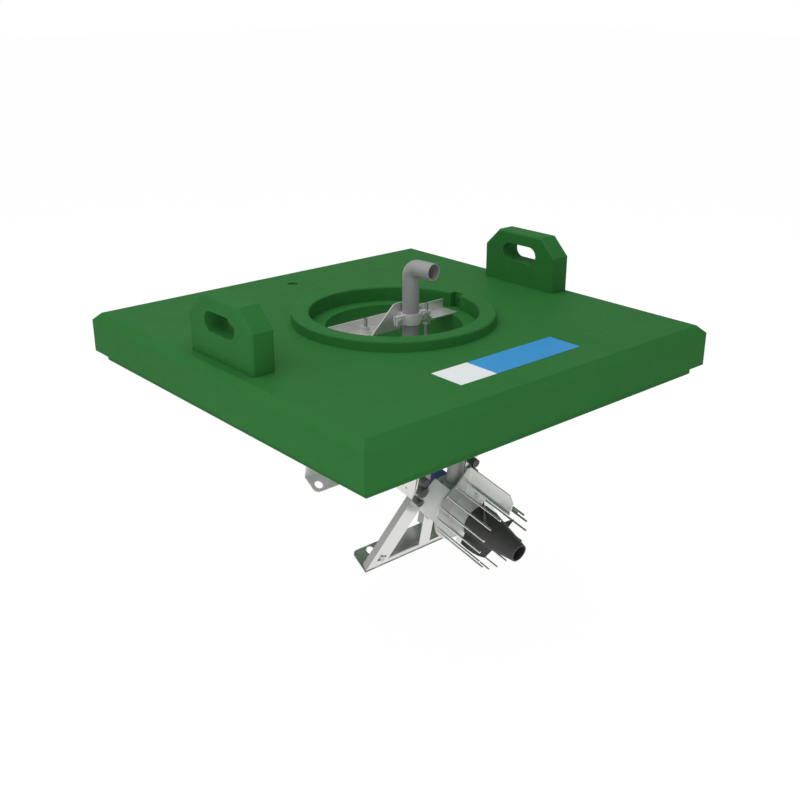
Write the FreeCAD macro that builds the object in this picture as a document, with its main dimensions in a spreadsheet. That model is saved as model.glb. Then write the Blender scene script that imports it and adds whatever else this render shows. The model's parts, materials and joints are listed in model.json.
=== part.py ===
import FreeCAD, Part
import math
import os

import Sketcher
from FreeCAD import Placement, Rotation, Vector

# Floating hydro-ejector aerator. A square moulded float carries a sheet-steel beam across its
# central well. Two eye rods hang a submersible motor in its frame from that beam. The motor turns
# a ducted propeller inside a cage of rods, and an air pipe feeds the chamber behind the propeller.
# The frame of the model has +Z up and its origin on the well's axis, level with the float's
# underside. The propeller points towards -Y, and X runs along the beam.

SIZES = {
    # float
    "float_side": 1050,
    "float_height": 124,
    "deck_chamfer": 18,
    "step_inset": 21,
    "step_height": 26,
    "step_round": 5,
    "collar_outer_radius": 247,
    "collar_draft": 2,
    "collar_inner_radius": 204,
    "collar_height": 23.5,
    "collar_round": 4,
    "ledge_depth": 14,
    "well_radius": 166,
    "notch_width": 33,
    "notch_depth": 16,
    "notch_hole_radius": 4,
    "notch_hole_depth": 20,
    "notch_hole_up": 3,
    "filler_radius": 14,
    "filler_inset": 111,
    "filler_depth": 12,
    # lifting lugs moulded on the deck
    "left_lug_inset": 69.5,
    "right_lug_inset": 46,
    "left_lug_shift": 3,
    "right_lug_shift": 16,
    "lug_length": 244,
    "lug_top_length": 150,
    "lug_height": 138,
    "lug_shoulder": 92,
    "lug_thickness": 56,
    "slot_length": 116,
    "slot_height": 46,
    "slot_middle": 84,
    "lug_edge_round": 6,
    # beam across the well
    "sheet": 3,
    "beam_length": 364,
    "beam_front": 32,
    "beam_back": 24,
    "beam_wall": 25,
    "gusset_height": 65,
    "gusset_foot": 196,
    "gusset_top": 58,
    "gusset_round": 22,
    # hangers
    "hanger_out": 96.6,
    "hanger_forward": 10,
    "hanger_radius": 4.5,
    "hanger_above": 34,
    "nut_across": 19,
    "nut_height": 11,
    "washer_radius": 15,
    "washer_height": 4,
    "eye_radius": 13,
    "eye_width": 12,
    "pivot_up": 45,
    "pivot_radius": 5,
    # air pipe
    "pipe_radius": 20,
    "pipe_wall": 2,
    "pipe_forward": 60,
    "pipe_rise": 140,
    "pipe_reach": 72,
    "pipe_bend": 24,
    "pipe_turn": 5,
    "pipe_joint_drop": 35,
    "coupling_length": 46,
    "coupling_wall": 3,
    "feed_bend_drop": 80,
    "feed_bend": 40,
    "feed_elbow_up": 112,
    # pipe clamp
    "clamp_wall": 3.5,
    "clamp_height": 26,
    "clamp_middle": 17,
    "clamp_ear": 47,
    "clamp_ear_height": 22,
    "clamp_ear_thickness": 5,
    "clamp_split": 2,
    "clamp_screw_out": 38,
    "clamp_screw_radius": 3,
    # place of the pump: where its axis meets the front frame plate
    "pump_forward": 183.4,
    "pump_drop": 278.6,
    "pump_tilt": 12,
    # pump frame
    "frame_length": 258,
    "foot_half_width": 224,
    "foot_drop": 146,
    "foot_tilt": 21,
    "foot_depth": 60,
    "foot_round": 14,
    "foot_hole_radius": 11,
    "front_hole_out": 176,
    "rear_hole_out": 203,
    "front_hole_depth": 45,
    "rear_hole_depth": 31,
    "strut_top_out": 108,
    "strut_top_up": 25,
    "strut_flange": 15,
    "bar_height": 13,
    "post_inner": 19,
    "post_outer": 55,
    "plate_top": 90,
    "plate_top_out": 97,
    "plate_shoulder": 52,
    "neck_radius": 53,
    "neck_slot": 58,
    "neck_slot_low": 22,
    "rear_drop": 33,
    "rear_shoulder": 12,
    "rear_tab_width": 118,
    "rear_tab_depth": 50,
    "rear_belly": 62,
    "rail_out": 90.3,
    "rail_low": 7,
    "rail_height": 62,
    "rail_slit": 5,
    "slot_bolt_radius": 5.5,
    "slot_bolt_in": 49,
    "slot_bolt_up": 23,
    "slot_length_half": 13,
    "slot_width": 8,
    "buffer_radius": 12,
    "buffer_length": 13,
    # motor
    "motor_radius": 48,
    "motor_wall": 3,
    "motor_start": 25,
    "motor_length": 285,
    "cap_length": 20,
    "flange_radius": 50,
    "flange_length": 12,
    "shaft_radius": 8,
    "shaft_fit": 0.05,
    "bearing_radius": 22,
    "bearing_length": 14,
    "bearing_wall": 6,
    "boss_run": 30,
    "shaft_room": 2,
    "shaft_end_gap": 0.5,
    "cap_draft": 8,
    "gland_hexagon_height": 8,
    "gland_wall": 5,
    "gland_floor": 6,
    "rotor_end_gap": 4,
    "rear_bearing_radius": 18,
    "seal_radius": 18,
    "seal_length": 9,
    "rotor_radius": 27,
    "rotor_gap": 1,
    "stator_length": 160,
    "stator_start": 100,
    "gland_radius": 11,
    "gland_length": 24,
    # air chamber round the shaft
    "chamber_radius": 40,
    "chamber_wall": 5,
    "chamber_front": 115,
    "chamber_flange": 50,
    "chamber_neck": 10,
    "lug_plate_half": 62,
    "lug_plate_low": 64,
    "lug_plate_high": 8,
    "stub_forward": 22,
    "stub_wall": 4,
    "stub_top": 58,
    "stub_seat": 46,
    "bush_radius": 13,
    "bush_length": 18,
    "spider_radius": 18,
    "spider_rib": 5,
    # shroud and guard
    "shroud_radius": 81,
    "shroud_wall": 3,
    "shroud_back": 4,
    "shroud_front": 60,
    "cheek_low": -10,
    "cheek_high": 56,
    "mount_radius": 9,
    "ring_thickness": 4,
    "ring_radius": 84,
    "ring_gap": 0.3,
    "ring_tower": 119,
    "rod_circle": 77,
    "rod_radius": 2.5,
    "rod_end": 207,
    "rod_count": 16,
    # fins
    "fin_gap": 0.3,
    "fin_top": 120,
    "fin_low": 70.5,
    "fin_root": 43,
    "fin_length": 128,
    "fin_foot_length": 52,
    "lower_fin_drop": 97,
    "lower_fin_length": 58,
    "fin_bolt_up": 60,
    "fin_bolt_forward": 98,
    "fin_bolt_radius": 3,
    # propeller and diffuser cone
    "hub_start": 117,
    "hub_radius": 42,
    "hub_straight": 30,
    "hub_end": 192,
    "hub_end_radius": 34,
    "hub_wall": 4,
    "boss_radius": 15,
    "arm_width": 8,
    "arm_length": 18,
    "blade_radius": 66.5,
    "blade_middle": 152,
    "blade_turn": -95,
    "hub_cutter": 400,
    "blade_count": 3,
    "blade_chord": 75,
    "blade_root_pitch": 28,
    "blade_tip_pitch": 48,
    "blade_thickness": 6,
    "cone_end": 257,
    "cone_end_radius": 22,
    "cone_wall": 3.5,
    "hub_nut_length": 9,
    "hub_nut_radius": 12,
}


class Dim:
    """A size that knows its number and the sheet formula that gives it."""

    def __init__(self, value, text):
        self.value = value
        self.text = text

    def __add__(self, other):
        return Dim(self.value + number(other), f"({self.text} + {text(other)})")

    def __radd__(self, other):
        return Dim(number(other) + self.value, f"({text(other)} + {self.text})")

    def __sub__(self, other):
        return Dim(self.value - number(other), f"({self.text} - {text(other)})")

    def __rsub__(self, other):
        return Dim(number(other) - self.value, f"({text(other)} - {self.text})")

    def __mul__(self, other):
        return Dim(self.value * number(other), f"({self.text} * {text(other)})")

    def __rmul__(self, other):
        return Dim(number(other) * self.value, f"({text(other)} * {self.text})")

    def __truediv__(self, other):
        return Dim(self.value / number(other), f"({self.text} / {text(other)})")

    def __neg__(self):
        return Dim(-self.value, f"(0 - {self.text})")


def number(size):
    return size.value if isinstance(size, Dim) else size


def text(size):
    return size.text if isinstance(size, Dim) else str(size)


def cosine(angle):
    return Dim(math.cos(math.radians(number(angle))), f"cos({text(angle)} * 1 deg)")


def sine(angle):
    return Dim(math.sin(math.radians(number(angle))), f"sin({text(angle)} * 1 deg)")


doc = FreeCAD.newDocument("aerator")
sheet = doc.addObject("Spreadsheet::Sheet", "Sizes")
for row, (alias, value) in enumerate(SIZES.items(), start=1):
    sheet.set(f"A{row}", alias)
    sheet.set(f"B{row}", str(value))
    sheet.setAlias(f"B{row}", alias)
doc.recompute()


class Sizes:
    """Every size of the sheet as an attribute."""


S = Sizes()
for alias, value in SIZES.items():
    setattr(S, alias, Dim(value, f"Sizes.{alias}"))

SUBPARTS = []


# Helpers that make bound features

def keep(obj, label):
    """Name a finished sub-part, so that it is checked and exported."""
    obj.Label = label
    SUBPARTS.append(obj)
    return obj


def bind(obj, path, size):
    if isinstance(size, Dim):
        obj.setExpression(path, size.text)


def shift(obj, x=0, y=0, z=0, rotation=None):
    """Place an object by bound offsets."""
    base = Vector(number(x), number(y), number(z))
    obj.Placement = Placement(base, rotation or Rotation())
    bind(obj, "Placement.Base.x", x)
    bind(obj, "Placement.Base.y", y)
    bind(obj, "Placement.Base.z", z)
    return obj


AXES = {
    "x": Rotation(Vector(0, 1, 0), 90),
    "y": Rotation(Vector(1, 0, 0), -90),
    "z": Rotation(),
}


def cylinder(radius, height, x=0, y=0, z=0, axis="z"):
    obj = doc.addObject("Part::Cylinder", "Cylinder")
    obj.Radius = number(radius)
    obj.Height = number(height)
    bind(obj, "Radius", radius)
    bind(obj, "Height", height)
    return shift(obj, x, y, z, AXES[axis])


def cone(low_radius, high_radius, height, z=0):
    obj = doc.addObject("Part::Cone", "Cone")
    obj.Radius1 = number(low_radius)
    obj.Radius2 = number(high_radius)
    obj.Height = number(height)
    bind(obj, "Radius1", low_radius)
    bind(obj, "Radius2", high_radius)
    bind(obj, "Height", height)
    return shift(obj, z=z)


def block(length, width, height, x=0, y=0, z=0):
    """A box whose place is the middle of its lower face."""
    obj = doc.addObject("Part::Box", "Box")
    obj.Length = number(length)
    obj.Width = number(width)
    obj.Height = number(height)
    bind(obj, "Length", length)
    bind(obj, "Width", width)
    bind(obj, "Height", height)
    return shift(obj, x - length / 2, y - width / 2, z)


def hexagon(across, height, x=0, y=0, z=0, axis="z"):
    obj = doc.addObject("Part::Prism", "Prism")
    obj.Polygon = 6
    circumradius = across / math.sqrt(3)
    obj.Circumradius = number(circumradius)
    obj.Height = number(height)
    bind(obj, "Circumradius", circumradius)
    bind(obj, "Height", height)
    return shift(obj, x, y, z, AXES[axis])


def join(*parts):
    obj = doc.addObject("Part::MultiFuse", "Fuse")
    obj.Shapes = list(parts)
    return obj


def cut(base, *tools):
    obj = doc.addObject("Part::Cut", "Cut")
    obj.Base = base
    obj.Tool = tools[0] if len(tools) == 1 else join(*tools)
    return obj


def group(*parts):
    """Separate solids that share one node."""
    obj = doc.addObject("Part::Compound", "Group")
    obj.Links = list(parts)
    return obj


def tube(outer, inner, height, z=0):
    hollow = cylinder(inner, height + 2, z=z - 1)
    return cut(cylinder(outer, height, z=z), hollow)


def make_body(name):
    return doc.addObject("PartDesign::Body", name)


def plane_of(body, role):
    for feature in body.Origin.OriginFeatures:
        if feature.Role == role:
            return feature
    raise RuntimeError(role)


def new_sketch(body, role, offset=0):
    sketch = body.newObject("Sketcher::SketchObject", "Sketch")
    sketch.AttachmentSupport = [(plane_of(body, role), "")]
    sketch.MapMode = "FlatFace"
    sketch.AttachmentOffset = Placement(Vector(0, 0, number(offset)), Rotation())
    bind(sketch, "AttachmentOffset.Base.z", offset)
    return sketch


def hold(sketch, kind, geometry, point, size):
    """Hold one coordinate of a point at a size, or on the axis if that size is zero."""
    if not isinstance(size, Dim) and size == 0:
        axis = -2 if kind == "DistanceX" else -1
        sketch.addConstraint(Sketcher.Constraint("PointOnObject", geometry, point, axis))
        return
    index = sketch.addConstraint(
        Sketcher.Constraint(kind, -1, 1, geometry, point, number(size)))
    bind(sketch, f"Constraints[{index}]", size)


def add_outline(sketch, corners):
    """A closed outline of straight runs, each corner bound to its sizes."""
    first = sketch.GeometryCount
    points = [Vector(number(x), number(y), 0) for x, y in corners]
    count = len(points)
    for index in range(count):
        sketch.addGeometry(Part.LineSegment(points[index], points[(index + 1) % count]))
    for index in range(count):
        following = first + (index + 1) % count
        sketch.addConstraint(
            Sketcher.Constraint("Coincident", first + index, 2, following, 1))
    for index, (x, y) in enumerate(corners):
        hold(sketch, "DistanceX", first + index, 1, x)
        hold(sketch, "DistanceY", first + index, 1, y)


def outline(body, role, corners, offset=0):
    sketch = new_sketch(body, role, offset)
    add_outline(sketch, corners)
    return sketch


def circles(body, role, places, offset=0):
    """Circles given as x, y and radius, in one sketch."""
    sketch = new_sketch(body, role, offset)
    for x, y, radius in places:
        centre = Vector(number(x), number(y), 0)
        index = sketch.addGeometry(Part.Circle(centre, Vector(0, 0, 1), number(radius)))
        hold(sketch, "DistanceX", index, 3, x)
        hold(sketch, "DistanceY", index, 3, y)
        held = sketch.addConstraint(Sketcher.Constraint("Radius", index, number(radius)))
        bind(sketch, f"Constraints[{held}]", radius)
    return sketch


def rectangle(length, width, x=0, y=0):
    """Corners of a rectangle about a centre."""
    return [
        (x - length / 2, y - width / 2),
        (x + length / 2, y - width / 2),
        (x + length / 2, y + width / 2),
        (x - length / 2, y + width / 2),
    ]


def pad(body, sketch, length, midplane=False, back=False):
    feature = body.newObject("PartDesign::Pad", "Pad")
    feature.Profile = sketch
    feature.Length = number(length)
    bind(feature, "Length", length)
    feature.Midplane = midplane
    feature.Reversed = back
    sketch.Visibility = False
    doc.recompute()
    return feature


def cut_through(body, sketch):
    """A pocket through everything on both sides of its sketch."""
    before = body.Shape.Volume
    feature = body.newObject("PartDesign::Pocket", "Pocket")
    feature.Profile = sketch
    feature.Type = "ThroughAll"
    feature.Midplane = True
    doc.recompute()
    if not body.Shape.Volume < before:
        raise RuntimeError(f"{body.Name}: {feature.Name} cuts nothing")
    return feature


def cut_deep(body, sketch, depth, back=False):
    """A blind pocket, which has to take material away."""
    before = body.Shape.Volume
    feature = body.newObject("PartDesign::Pocket", "Pocket")
    feature.Profile = sketch
    feature.Length = number(depth)
    bind(feature, "Length", depth)
    feature.Reversed = back
    doc.recompute()
    if not body.Shape.Volume < before:
        raise RuntimeError(f"{body.Name}: {feature.Name} cuts nothing")
    return feature


def turn(body, sketch, kind="PartDesign::Revolution"):
    """A full turn of a sketch about the body's own Z, added or taken away."""
    before = body.Shape.Volume if body.Tip else 0
    feature = body.newObject(kind, "Turn")
    feature.Profile = sketch
    feature.ReferenceAxis = (sketch, ["V_Axis"])
    feature.Angle = 360
    doc.recompute()
    grows = kind == "PartDesign::Revolution"
    if (body.Shape.Volume > before) != grows:
        raise RuntimeError(f"{body.Name}: {feature.Name} has the wrong direction")
    return feature


def dress(body, kind, size, wanted):
    """Fillet or chamfer the edges that a test picks."""
    feature = body.newObject(kind, "Dress")
    edges = body.Tip if body.Tip is not feature else None
    base = feature.BaseFeature or edges
    names = [f"Edge{index}" for index, edge in enumerate(base.Shape.Edges, start=1)
             if wanted(edge)]
    if not names:
        raise RuntimeError(f"{body.Name}: no edge to dress")
    feature.Base = (base, names)
    prop = "Radius" if kind == "PartDesign::Fillet" else "Size"
    setattr(feature, prop, number(size))
    bind(feature, prop, size)
    doc.recompute()
    return feature


def along(edge, axis):
    """Whether a straight edge runs along a direction."""
    if len(edge.Vertexes) != 2 or not isinstance(edge.Curve, Part.Line):
        return False
    run = edge.Vertexes[1].Point - edge.Vertexes[0].Point
    return abs(abs(run.normalize().dot(axis)) - 1) < 1e-6


def near(value, wanted):
    return abs(value - number(wanted)) < 1e-3


PUMP_TURN = Rotation(Vector(1, 0, 0), 90 + number(S.pump_tilt))


def on_pump(obj):
    """Seat a piece that was drawn about the pump's own axis, with Z towards the propeller."""
    return shift(obj, 0, -S.pump_forward, -S.pump_drop, PUMP_TURN)


def pump_point(x, up, forward):
    """A point of the pump's own frame, in the frame of the model."""
    base = Vector(0, -number(S.pump_forward), -number(S.pump_drop))
    return base + PUMP_TURN.multVec(Vector(number(x), number(up), number(forward)))


# Float

FILLER_BACK = S.float_side / 2 - S.filler_inset


def make_float():
    hull = make_body("float_hull")
    step_side = S.float_side - 2 * S.step_inset
    pad(hull, outline(hull, "XY_Plane", rectangle(step_side, step_side)),
        S.step_height + 1)
    dress(hull, "PartDesign::Fillet", S.step_round,
          lambda edge: all(near(v.Z, 0) for v in edge.Vertexes))
    pad(hull, outline(hull, "XY_Plane", rectangle(S.float_side, S.float_side),
                      S.step_height), S.float_height - S.step_height)
    dress(hull, "PartDesign::Chamfer", S.deck_chamfer,
          lambda edge: all(near(v.Z, S.float_height) for v in edge.Vertexes)
          and abs(edge.Length - number(S.float_side)) < 1)

    collar_top = S.float_height + S.collar_height
    collar = [
        (S.collar_inner_radius - 10, S.float_height - 5),
        (S.collar_outer_radius, S.float_height - 5),
        (S.collar_outer_radius, S.float_height),
        (S.collar_outer_radius - S.collar_draft, collar_top),
        (S.collar_inner_radius - 10, collar_top),
    ]
    turn(hull, outline(hull, "XZ_Plane", collar))
    ledge = S.float_height - S.ledge_depth
    well = [
        (0, -1),
        (S.well_radius, -1),
        (S.well_radius, ledge),
        (S.collar_inner_radius, ledge),
        (S.collar_inner_radius, collar_top + 1),
        (0, collar_top + 1),
    ]
    turn(hull, outline(hull, "XZ_Plane", well), "PartDesign::Groove")
    dress(hull, "PartDesign::Fillet", S.collar_round,
          lambda edge: isinstance(edge.Curve, Part.Circle)
          and near(edge.Curve.Center.z, collar_top))
    # Seat for a beam bracket, with a screw hole in its back
    notch = outline(hull, "XY_Plane",
                    rectangle(S.notch_depth + 4, S.notch_width,
                              S.collar_inner_radius + S.notch_depth / 2 - 2), ledge)
    cut_deep(hull, notch, S.collar_height + S.ledge_depth + 1, back=True)
    screw = circles(hull, "YZ_Plane", [(0, S.float_height + S.notch_hole_up,
                                        S.notch_hole_radius)],
                    S.collar_inner_radius + S.notch_depth)
    cut_deep(hull, screw, S.notch_hole_depth, back=True)
    cut_deep(hull, circles(hull, "XY_Plane", [(0, FILLER_BACK, S.filler_radius)],
                           S.float_height), S.filler_depth)
    add_lug(hull, -(S.float_side / 2 - S.left_lug_inset), S.left_lug_shift)
    add_lug(hull, S.float_side / 2 - S.right_lug_inset, S.right_lug_shift)
    return keep(hull, "float_hull")


def add_lug(hull, out, shift_back):
    """One lifting lug: an upright plate with sloped shoulders and a hand slot."""
    deck = S.float_height
    half, half_top = S.lug_length / 2, S.lug_top_length / 2
    face = [
        (shift_back - half, deck - 2),
        (shift_back + half, deck - 2),
        (shift_back + half, deck + S.lug_shoulder),
        (shift_back + half_top, deck + S.lug_height),
        (shift_back - half_top, deck + S.lug_height),
        (shift_back - half, deck + S.lug_shoulder),
    ]
    pad(hull, outline(hull, "YZ_Plane", face, out), S.lug_thickness, midplane=True)
    x_low = number(out) - number(S.lug_thickness) / 2
    x_high = number(out) + number(S.lug_thickness) / 2

    def rim(edge):
        on_face = all(near(v.X, x_low) for v in edge.Vertexes) or \
            all(near(v.X, x_high) for v in edge.Vertexes)
        return on_face and max(v.Z for v in edge.Vertexes) > number(deck) + 1

    dress(hull, "PartDesign::Fillet", S.lug_edge_round, rim)
    slot = hull.newObject("PartDesign::Pocket", "Slot")
    slot.Profile = slot_sketch(hull, out, shift_back)
    slot.Length = number(S.lug_thickness + 20)
    bind(slot, "Length", S.lug_thickness + 20)
    slot.Midplane = True
    doc.recompute()


def slot_sketch(hull, out, shift_back):
    """A hand slot with round ends, drawn in the lug's middle plane."""
    sketch = new_sketch(hull, "YZ_Plane", out)
    half, reach = number(S.slot_height) / 2, number(S.slot_length) / 2
    middle = number(S.float_height + S.slot_middle)
    centre = number(shift_back)
    left, right = centre - reach + half, centre + reach - half
    up = Vector(0, 0, 1)
    sketch.addGeometry(Part.LineSegment(Vector(left, middle - half, 0),
                                        Vector(right, middle - half, 0)))
    sketch.addGeometry(Part.ArcOfCircle(Part.Circle(Vector(right, middle, 0), up, half),
                                        -math.pi / 2, math.pi / 2))
    sketch.addGeometry(Part.LineSegment(Vector(right, middle + half, 0),
                                        Vector(left, middle + half, 0)))
    sketch.addGeometry(Part.ArcOfCircle(Part.Circle(Vector(left, middle, 0), up, half),
                                        math.pi / 2, 3 * math.pi / 2))
    for index in range(4):
        sketch.addConstraint(Sketcher.Constraint("Tangent", index, 2, (index + 1) % 4, 1))
    sketch.addConstraint(Sketcher.Constraint("Horizontal", 0))
    for geometry, size in ((1, shift_back + S.slot_length / 2 - S.slot_height / 2),
                           (3, shift_back - S.slot_length / 2 + S.slot_height / 2)):
        hold(sketch, "DistanceX", geometry, 3, size)
    hold(sketch, "DistanceY", 1, 3, S.float_height + S.slot_middle)
    radius = sketch.addConstraint(Sketcher.Constraint("Radius", 1, half))
    bind(sketch, f"Constraints[{radius}]", S.slot_height / 2)
    return sketch


def make_filler_plug():
    cap = cylinder(S.filler_radius - 0.3, S.filler_depth - 4,
                   y=FILLER_BACK, z=S.float_height - S.filler_depth)
    key = block(S.filler_radius, 3, 4, y=FILLER_BACK,
                z=S.float_height - S.filler_depth + 5)
    return keep(cut(cap, key), "filler_plug")


# Beam and hangers

BEAM_FLOOR = S.float_height - S.ledge_depth


def make_beam():
    beam = make_body("cross_beam")
    profile = [
        (-S.beam_front, BEAM_FLOOR),
        (S.beam_back, BEAM_FLOOR),
        (S.beam_back, BEAM_FLOOR + S.beam_wall),
        (S.beam_back - S.sheet, BEAM_FLOOR + S.beam_wall),
        (S.beam_back - S.sheet, BEAM_FLOOR + S.sheet),
        (-S.beam_front, BEAM_FLOOR + S.sheet),
    ]
    pad(beam, outline(beam, "YZ_Plane", profile), S.beam_length, midplane=True)
    half_foot, half_top = S.gusset_foot / 2, S.gusset_top / 2
    gusset = [
        (-half_foot, BEAM_FLOOR),
        (half_foot, BEAM_FLOOR),
        (half_top, BEAM_FLOOR + S.gusset_height),
        (-half_top, BEAM_FLOOR + S.gusset_height),
    ]
    pad(beam, outline(beam, "XZ_Plane", gusset, S.beam_front - 0.01), S.sheet)
    dress(beam, "PartDesign::Fillet", S.gusset_round,
          lambda edge: along(edge, Vector(0, 1, 0))
          and near(edge.Vertexes[0].Z, BEAM_FLOOR + S.gusset_height))
    holes = [(side * S.hanger_out, -S.hanger_forward, S.hanger_radius + 0.5)
             for side in (-1, 1)]
    cut_through(beam, circles(beam, "XY_Plane", holes))
    return keep(beam, "cross_beam")


def pivot_place():
    """Height of the eye's centre and how far behind the front plate the pivot lies."""
    back = (S.pump_forward + S.pivot_up * sine(S.pump_tilt) - S.hanger_forward) \
        / cosine(S.pump_tilt)
    height = -S.pump_drop + S.pivot_up * cosine(S.pump_tilt) + back * sine(S.pump_tilt)
    return back, height


def make_hangers():
    back, height = pivot_place()
    y = -S.hanger_forward
    top = BEAM_FLOOR + S.sheet + S.hanger_above
    for side, name in ((-1, "left"), (1, "right")):
        x = side * S.hanger_out
        rod = cylinder(S.hanger_radius, top - height - S.eye_radius + 3, x, y,
                       height + S.eye_radius - 3)
        eye = cylinder(S.eye_radius, S.eye_width, x - S.eye_width / 2, y, height, "x")
        hole = cylinder(S.pivot_radius + 0.3, S.eye_width + 2,
                        x - S.eye_width / 2 - 1, y, height, "x")
        keep(cut(join(rod, eye), hole), f"hanger_rod_{name}")
    over, under = BEAM_FLOOR + S.sheet, BEAM_FLOOR
    washers, nuts = [], []
    for side in (-1, 1):
        x = side * S.hanger_out
        for z_washer, z_nut in ((over, over + S.washer_height),
                                (under - S.washer_height,
                                 under - S.washer_height - S.nut_height)):
            bore = cylinder(S.hanger_radius, S.washer_height + 2, x, y, z_washer - 1)
            washers.append(cut(cylinder(S.washer_radius, S.washer_height, x, y, z_washer),
                               bore))
            bore = cylinder(S.hanger_radius, S.nut_height + 2, x, y, z_nut - 1)
            nuts.append(cut(hexagon(S.nut_across, S.nut_height, x, y, z_nut), bore))
    keep(group(*washers), "hanger_washers")
    keep(group(*nuts), "hanger_nuts")


def make_pivot_bolts():
    """Bolts that hold the hanger eyes on the side rails."""
    back, height = pivot_place()
    y = -S.hanger_forward
    inner = S.rail_out - S.sheet
    outer = S.hanger_out + S.eye_width / 2
    bolts = []
    for side in (-1, 1):
        shank = cylinder(S.pivot_radius, outer - inner, 0, 0, 0, "x")
        shift(shank, inner if side > 0 else -outer, y, height, AXES["x"])
        head = hexagon(S.nut_across, S.nut_height, 0, 0, 0, "x")
        shift(head, outer if side > 0 else -outer - S.nut_height, y, height, AXES["x"])
        nut = hexagon(S.nut_across, S.nut_height - 2, 0, 0, 0, "x")
        shift(nut, inner - S.nut_height + 2 if side > 0 else -inner, y, height, AXES["x"])
        bolts.append(join(shank, head, nut))
    return keep(group(*bolts), "pivot_bolts")


# Air pipe and its clamp

def rounded_path(points, radius):
    """A wire of straight runs joined by tangent arcs of one radius."""
    edges = []
    start = points[0]
    for before, corner, after in zip(points, points[1:], points[2:]):
        inward = (corner - before).normalize()
        outward = (after - corner).normalize()
        half_turn = inward.getAngle(outward) / 2
        reach = radius * math.tan(half_turn)
        entry = corner - inward * reach
        leave = corner + outward * reach
        towards = (outward - inward).normalize()
        middle = corner + towards * (radius / math.cos(half_turn) - radius)
        edges.append(Part.makeLine(start, entry))
        edges.append(Part.Arc(entry, middle, leave).toShape())
        start = leave
    edges.append(Part.makeLine(start, points[-1]))
    return Part.Wire(edges)


def swept_tube(points, bend, radius, wall):
    """A round tube along straight runs and arcs."""
    path = rounded_path(points, bend)
    direction = points[1] - points[0]
    solids = []
    for size in (radius, radius - wall):
        ring = Part.Wire(Part.makeCircle(size, points[0], direction))
        solids.append(path.makePipeShell([ring], True, True))
    return solids[0].cut(solids[1])


def feature(shape, label):
    obj = doc.addObject("Part::Feature", label)
    obj.Shape = shape
    return keep(obj, label)


def pipe_routes():
    y = -number(S.pipe_forward)
    joint = Vector(0, y, -number(S.pipe_joint_drop))
    top = number(S.float_height + S.pipe_rise)
    angle = math.radians(number(S.pipe_turn))
    outward = Vector(math.sin(angle), -math.cos(angle), 0)
    corner = Vector(0, y, top)
    upper = [joint, corner, corner + outward * number(S.pipe_reach)]
    lower = [
        joint,
        Vector(0, y, -number(S.feed_bend_drop)),
        pump_point(0, S.feed_elbow_up, S.stub_forward),
        pump_point(0, S.stub_seat, S.stub_forward),
    ]
    return upper, lower


def make_air_pipe():
    upper, lower = pipe_routes()
    radius, wall = number(S.pipe_radius), number(S.pipe_wall)
    feature(swept_tube(upper, number(S.pipe_bend), radius, wall), "air_inlet_pipe")
    feature(swept_tube(lower, number(S.feed_bend), radius, wall), "air_feed_pipe")
    ring = tube(S.pipe_radius + S.coupling_wall, S.pipe_radius, S.coupling_length)
    shift(ring, 0, -S.pipe_forward, -S.pipe_joint_drop - S.coupling_length / 2)
    keep(ring, "pipe_coupling")


def make_pipe_clamp():
    """Two clamp halves that close on the pipe, and their two screws."""
    middle = S.float_height + S.clamp_middle
    outer = S.pipe_radius + S.clamp_wall
    y = -S.pipe_forward
    half_space = S.clamp_ear + 10
    for side, name in ((-1, "front"), (1, "rear")):
        ring = cylinder(outer, S.clamp_height, 0, y, middle - S.clamp_height / 2)
        ear = block(2 * S.clamp_ear, 2 * (S.clamp_ear_thickness + S.clamp_split / 2),
                    S.clamp_ear_height, 0, y, middle - S.clamp_ear_height / 2)
        shapes = [ring, ear]
        if side > 0:
            seat = S.pipe_forward - S.beam_front - S.sheet
            shapes.append(block(2 * S.pipe_radius, seat, S.clamp_ear_height, 0,
                                y + seat / 2, middle - S.clamp_ear_height / 2))
        bore = cylinder(S.pipe_radius, S.clamp_height + 2, 0, y,
                        middle - S.clamp_height / 2 - 1)
        away = block(2 * half_space, half_space, S.clamp_height + 2, 0,
                     y - side * (half_space / 2 - S.clamp_split / 2),
                     middle - S.clamp_height / 2 - 1)
        holes = [cylinder(S.clamp_screw_radius, 60, other * S.clamp_screw_out, y - 30,
                          middle, "y") for other in (-1, 1)]
        keep(cut(join(*shapes), bore, away, *holes), f"clamp_{name}")
    screws = []
    reach = S.clamp_ear_thickness + S.clamp_split / 2
    for side in (-1, 1):
        x = side * S.clamp_screw_out
        shank = cylinder(S.clamp_screw_radius, 2 * reach, x, y - reach, middle, "y")
        head = cylinder(2 * S.clamp_screw_radius, 4, x, y - reach - 4, middle, "y")
        nut = hexagon(4 * S.clamp_screw_radius, 5, x, y + reach, middle, "y")
        screws.append(join(shank, head, nut))
    return keep(group(*screws), "clamp_screws")


# Pump frame, drawn about the pump's axis with the front plate's face at zero

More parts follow.
